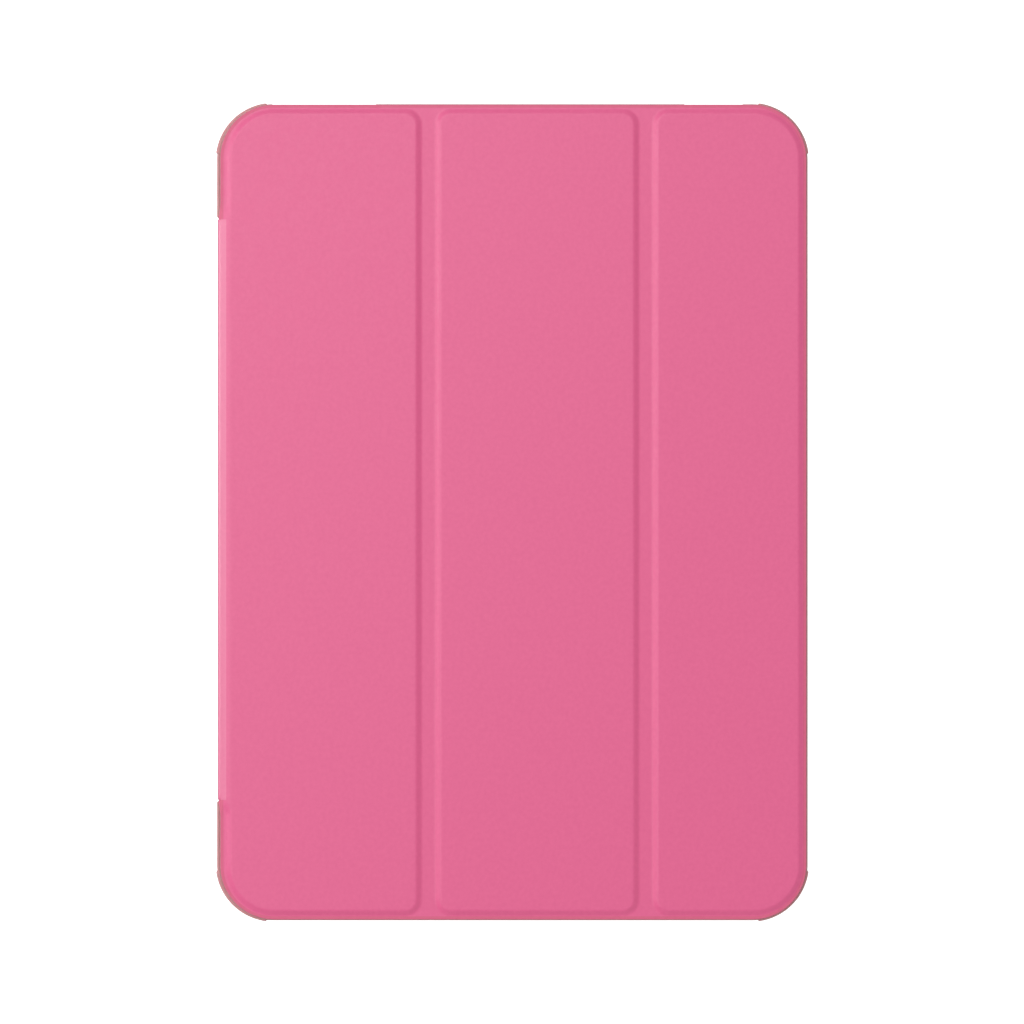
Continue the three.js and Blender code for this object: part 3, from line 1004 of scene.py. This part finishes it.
back_bend = lofted_sheet("skin_back_bend", *back_bend_lines(), skin_materials, end_stations(), is_tab_edge)
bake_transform(back_bend)
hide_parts("hinge_tab_skin", "back_fold_skin", "spine_skin")

spine_liner = lofted_sheet("lining_spine", *spine_lining_lines(), liner_materials, end_stations(), None)
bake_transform(spine_liner)
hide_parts("spine_lining", "front_fold_lining")


# ---- Frame and back plate ----

soft_frame = make_frame([soft_plastic])
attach(soft_frame, "shell")
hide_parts("bumper_frame")

frosted_plate = make_plate([frosted])
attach(frosted_plate, "shell")
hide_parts("back_plate")


# ---- Floor, light and camera ----

FLOOR_DROP = 0.12
CAMERA_HEIGHT = 1.5
VIEW_WIDTH = 0.3149
CAMERA_PLACE = (-0.00011, 0.00008)
SENSOR_WIDTH = 36

FLOOR_REACH = 6.0
floor_corners = [(-1, -1), (1, -1), (1, 1), (-1, 1)]
floor_mesh = bpy.data.meshes.new("floor")
floor_points = [(FLOOR_REACH * x, FLOOR_REACH * y, -FLOOR_DROP) for x, y in floor_corners]
floor_mesh.from_pydata(floor_points, [], [(0, 1, 2, 3)])
floor = bpy.data.objects.new("floor", floor_mesh)
bpy.context.scene.collection.objects.link(floor)
floor_material, floor_nodes, floor_links, floor_shader = start_material("floor_white")
floor_shader.inputs["Base Color"].default_value = (0.5, 0.5, 0.5, 1)
floor_shader.inputs["Roughness"].default_value = 0.9
floor_shader.inputs["Emission Color"].default_value = (1, 1, 1, 1)
floor_mesh.materials.append(floor_material)

# The floor doesn't show from below, so the back of the case can be seen.
below = floor_nodes.new("ShaderNodeNewGeometry")
clear = floor_nodes.new("ShaderNodeBsdfTransparent")
one_sided = floor_nodes.new("ShaderNodeMixShader")
floor_ray = floor_nodes.new("ShaderNodeLightPath")
floor_links.new(floor_ray.outputs["Is Camera Ray"], floor_shader.inputs["Emission Strength"])
floor_links.new(below.outputs["Backfacing"], one_sided.inputs["Fac"])
floor_links.new(floor_shader.outputs["BSDF"], one_sided.inputs[1])
floor_links.new(clear.outputs["BSDF"], one_sided.inputs[2])
floor_links.new(one_sided.outputs["Shader"], floor_nodes["Material Output"].inputs["Surface"])

scene = bpy.context.scene
world = bpy.data.worlds.new("studio")
scene.world = world
world.use_nodes = True
world_nodes = world.node_tree.nodes
world_links = world.node_tree.links
soft_light = world_nodes["Background"]
soft_light.inputs["Color"].default_value = (1, 1, 1, 1)
soft_light.inputs["Strength"].default_value = 0.60
white = world_nodes.new("ShaderNodeBackground")
white.inputs["Color"].default_value = (1, 1, 1, 1)
white.inputs["Strength"].default_value = 1.0
ray = world_nodes.new("ShaderNodeLightPath")
backdrop = world_nodes.new("ShaderNodeMixShader")
world_links.new(ray.outputs["Is Camera Ray"], backdrop.inputs["Fac"])
world_links.new(soft_light.outputs["Background"], backdrop.inputs[1])
world_links.new(white.outputs["Background"], backdrop.inputs[2])
world_links.new(backdrop.outputs["Shader"], world_nodes["World Output"].inputs["Surface"])


def add_softbox(name, place, size, power):
    """A square area light that faces the middle of the case."""
    light = bpy.data.lights.new(name, "AREA")
    light.shape = "RECTANGLE"
    light.size, light.size_y = size
    light.energy = power
    lamp = bpy.data.objects.new(name, light)
    lamp.location = place
    lamp.rotation_euler = (Vector((0, 0, 0)) - Vector(place)).to_track_quat("-Z", "Y").to_euler()
    scene.collection.objects.link(lamp)


add_softbox("softbox_above", (-0.45, 0.9, 2.2), (1.9, 2.4), 9.4)
add_softbox("softbox_near", (-0.3, 0.12, 1.0), (1.2, 0.4), 1.6)
add_softbox("softbox_left", (-1.45, 0.5, 1.35), (0.75, 2.0), 6.8)
add_softbox("softbox_low_left", (-2.0, 0.1, 0.3), (0.35, 2.4), 10.5)

camera_data = bpy.data.cameras.new("camera")
camera_data.sensor_width = SENSOR_WIDTH
camera_data.lens = SENSOR_WIDTH * CAMERA_HEIGHT / VIEW_WIDTH
camera = bpy.data.objects.new("camera", camera_data)
camera.location = (*CAMERA_PLACE, COVER_TOP * MM + CAMERA_HEIGHT)
camera.rotation_euler = (0, 0, 0)
scene.collection.objects.link(camera)
scene.camera = camera

scene.view_settings.view_transform = "Standard"
scene.view_settings.look = "None"
